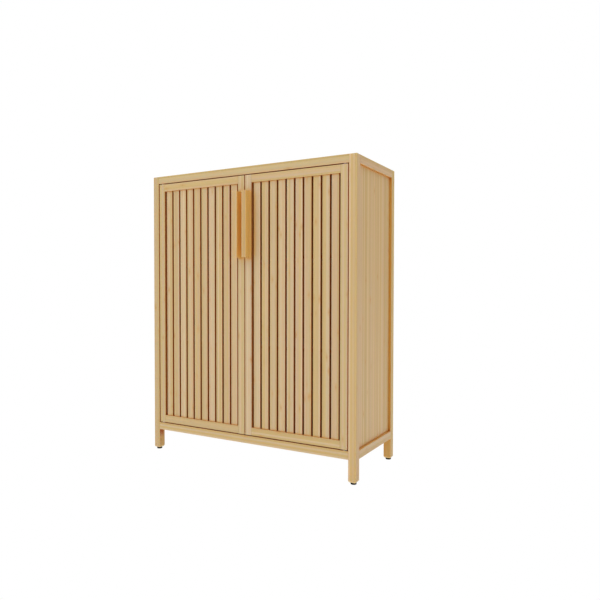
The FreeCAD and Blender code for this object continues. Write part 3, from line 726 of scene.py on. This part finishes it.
def hardware():
    # levelling feet
    for corner in ("front_left", "front_right", "rear_left", "rear_right"):
        body = "foot_" + corner
        lo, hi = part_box("foot_pad_" + corner)
        c = (lo + hi) / 2
        h, R = hi.z - lo.z, (hi.x - lo.x) / 2
        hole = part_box("foot_stud_" + corner)
        bm = bmesh.new()
        rings = [(0.7 * MM, 0), (0.7 * MM, R - 3.2 * MM), (0.45 * MM, R - 2.8 * MM), (0.0, R - 2.2 * MM)]
        rings += [(s, r) for s, r in arc(0.9 * MM, R - 0.9 * MM, 0.9 * MM, -90, 0)]
        rings += [(h * 0.40, R), (h * 0.43, R - 0.25 * MM), (h * 0.50, R - 0.25 * MM), (h * 0.53, R)]
        rings += [(s, r) for s, r in arc(h - 0.7 * MM, R - 0.7 * MM, 0.7 * MM, 0, 90)]
        rings += [(h, 4.6 * MM), (h - 0.5 * MM, 4.3 * MM), (h - 0.5 * MM, 3.02 * MM),
                  (hole[0].z - lo.z, 3.02 * MM), (hole[0].z - lo.z, 0)]
        turn(bm, (c.x, c.y, lo.z), (0, 0, 1), rings, 56)
        made("levelling_pad_" + corner, bm, black, body, "black_plastic", "foot_pad_" + corner)
        lo, hi = hole
        R, L = (hi.x - lo.x) / 2, hi.z - lo.z
        bm = bmesh.new()
        rings = [(0.0, 0), (0.0, R - 0.4 * MM), (0.4 * MM, R - 0.02 * MM), (3.0 * MM, R - 0.02 * MM)]
        rings += thread(3.4 * MM, L - 0.7 * MM, R - 0.01 * MM, 0.52 * MM, 1.0 * MM)
        rings += [(L, R - 0.9 * MM), (L, 0)]
        turn(bm, (c.x, c.y, lo.z), (0, 0, 1), rings, 32)
        made("levelling_stud_" + corner, bm, steel, body, "zinc_steel", "foot_stud_" + corner)

    # threaded inserts in the legs
    bm = bmesh.new()
    for lo, hi in lumps("foot_inserts"):
        c, R, L = (lo + hi) / 2, (hi.x - lo.x) / 2, hi.z - lo.z
        rings = [(0.0, 3.5 * MM), (0.0, R - 0.3 * MM), (0.3 * MM, R), (1.0 * MM, R), (1.2 * MM, R - 0.9 * MM)]
        rings += thread(1.3 * MM, L - 0.5 * MM, R - 0.05 * MM, 0.85 * MM, 2.4 * MM, steps=14, runout=0.5)
        rings += [(L, R - 1.1 * MM), (L, 3.3 * MM), (L - 0.4 * MM, 3.06 * MM), (0.5 * MM, 3.06 * MM)]
        turn(bm, (c.x, c.y, lo.z), (0, 0, 1), rings, 40, loop=True)
    made("leg_inserts", bm, cast, "cabinet", "cast_zinc", "foot_inserts")

    # fluted dowels
    def dowels(name, node, body):
        bm = bmesh.new()
        for lo, hi in lumps(node):
            size = hi - lo
            ax = max(range(3), key=lambda i: size[i])
            axis = Vector([float(i == ax) for i in range(3)])
            at = (lo + hi) / 2 - axis * size[ax] / 2
            R, L = min(size) / 2, size[ax]
            flute = lambda a: R - 0.24 * MM * max(0.0, math.cos(16 * a)) ** 2
            soft = lambda a: R - 0.05 * MM - 0.24 * MM * max(0.0, math.cos(16 * a)) ** 2
            rings = [(0.0, 0), (0.0, R - 0.75 * MM), (0.45 * MM, R - 0.28 * MM), (0.95 * MM, soft), (1.4 * MM, flute),
                     (L - 1.4 * MM, flute), (L - 0.95 * MM, soft), (L - 0.45 * MM, R - 0.28 * MM),
                     (L, R - 0.75 * MM), (L, 0)]
            turn(bm, at, axis, rings, 128)
        made(name, bm, dowel_x, body, "dowel_wood", node, sharp=60)

    dowels("fluted_dowels", "rail_dowels", "cabinet")
    dowels("fluted_dowels_door_left", "door_left_dowels", "door_left")
    dowels("fluted_dowels_door_right", "door_right_dowels", "door_right")

    # cam bolts: coarse thread in the post, plain neck, waisted head in the cam
    bm = bmesh.new()
    for lo, hi in lumps("cam_bolts"):
        c, L, s = (lo + hi) / 2, hi.x - lo.x, 1.0 if (lo + hi).x < 0 else -1.0
        at = Vector((lo.x if s > 0 else hi.x, c.y, c.z))
        rings = [(0.0, 0), (0.0, 1.9 * MM), (0.5 * MM, 2.3 * MM)]
        rings += thread(0.7 * MM, 8.3 * MM, 2.98 * MM, 0.75 * MM, 1.5 * MM, steps=10, runout=0.6)
        rings += [(9.02 * MM, 2.2 * MM), (9.04 * MM, 3.25 * MM), (10.4 * MM, 3.25 * MM), (10.7 * MM, 2.48 * MM),
                  (L - 8.6 * MM, 2.48 * MM), (L - 8.0 * MM, 1.9 * MM), (L - 4.4 * MM, 1.9 * MM), (L - 4.0 * MM, 2.5 * MM),
                  (L - 3.7 * MM, 3.2 * MM), (L - 3.1 * MM, 3.28 * MM), (L - 0.8 * MM, 3.2 * MM), (L - 0.2 * MM, 2.6 * MM),
                  (L, 1.6 * MM), (L, 0)]
        turn(bm, at, (s, 0, 0), rings, 32)
    made("connecting_bolts", bm, steel, "cabinet", "zinc_steel", "cam_bolts")

    # pivot pins with rounded ends
    for side in ("left", "right"):
        bm = bmesh.new()
        for lo, hi in lumps(f"door_{side}_pivot_pins"):
            c, R, L = (lo + hi) / 2, (hi.x - lo.x) / 2, hi.z - lo.z
            rings = [(0.0, 0)] + arc(0.8 * MM, R - 0.8 * MM, 0.8 * MM, -90, 0) + arc(L - 0.8 * MM, R - 0.8 * MM, 0.8 * MM, 0, 90)
            mid = L / 2
            rings[7:7] = [(mid - 2.2 * MM, R), (mid - 2.0 * MM, R - 0.12 * MM), (mid + 2.0 * MM, R - 0.12 * MM), (mid + 2.2 * MM, R)]
            rings += [(L, 0)]
            turn(bm, (c.x, c.y, lo.z), (0, 0, 1), rings, 36)
        made(f"pivots_{side}", bm, steel, "door_" + side, "zinc_steel", f"door_{side}_pivot_pins")

    # shelf pins: steel pegs with a stop ring's groove and rounded ends
    bm = bmesh.new()
    for lo, hi in lumps("shelf_pins"):
        c, R, L = (lo + hi) / 2, (hi.y - lo.y) / 2, hi.x - lo.x
        s = 1.0 if c.x < 0 else -1.0
        at = Vector((lo.x if s > 0 else hi.x, c.y, c.z))
        rings = [(0.0, 0), (0.0, R - 0.4 * MM), (0.4 * MM, R), (5.2 * MM, R), (5.5 * MM, R - 0.25 * MM), (6.3 * MM, R - 0.25 * MM),
                 (6.6 * MM, R), (L - 0.7 * MM, R)] + arc(L - 0.7 * MM, R - 0.7 * MM, 0.7 * MM, 0, 90)[1:] + [(L, 0)]
        turn(bm, at, (s, 0, 0), rings, 36)
    made("pegs_shelf", bm, steel, "cabinet", "zinc_steel", "shelf_pins")

    # screws
    back = lambda lo, hi: (Vector(((lo.x + hi.x) / 2, hi.y, (lo.z + hi.z) / 2)), (0, -1, 0))
    screws("wood_screws_back", "back_screws", "cabinet", (3.0, 5.6, 1.6, 14.0), back, 2.9, 1.2)
    screws("wood_screws_catch", "catch_screws", "cabinet", (3.0, 5.6, 1.6, 23.0),
           lambda lo, hi: (Vector(((lo.x + hi.x) / 2, (lo.y + hi.y) / 2, lo.z)), (0, 0, 1)), 2.9, 1.2)
    for side in ("left", "right"):
        screws("wood_screw_strike_" + side, f"door_{side}_strike_screw", "door_" + side, (3.0, 5.6, 0.9, 10.0), back, 2.7, 0.8)
        # pan-head screws that hold the handle from behind
        bm = bmesh.new()
        tools = []
        for lo, hi in lumps(f"door_{side}_handle_screws"):
            at, axis = back(lo, hi)
            L = hi.y - lo.y
            rings = [(0.0, 0), (0.02 * MM, 1.4 * MM), (0.18 * MM, 2.5 * MM), (0.55 * MM, 3.3 * MM), (1.05 * MM, 3.8 * MM),
                     (1.6 * MM, 3.96 * MM), (2.45 * MM, 3.97 * MM), (2.58 * MM, 3.85 * MM), (2.60 * MM, 1.98 * MM), (6.0 * MM, 1.98 * MM)]
            rings += thread(6.3 * MM, L - 0.8 * MM, 1.98 * MM, 0.36 * MM, 0.7 * MM)
            rings += [(L - 0.3 * MM, 1.4 * MM), (L, 1.1 * MM), (L, 0)]
            turn(bm, at, axis, rings, 32)
            tools.append((at, axis, 4.3 * MM, 1.7 * MM))
        recess(made("machine_screws_" + side, bm, steel, "door_" + side, "zinc_steel", f"door_{side}_handle_screws"), tools)


hardware()
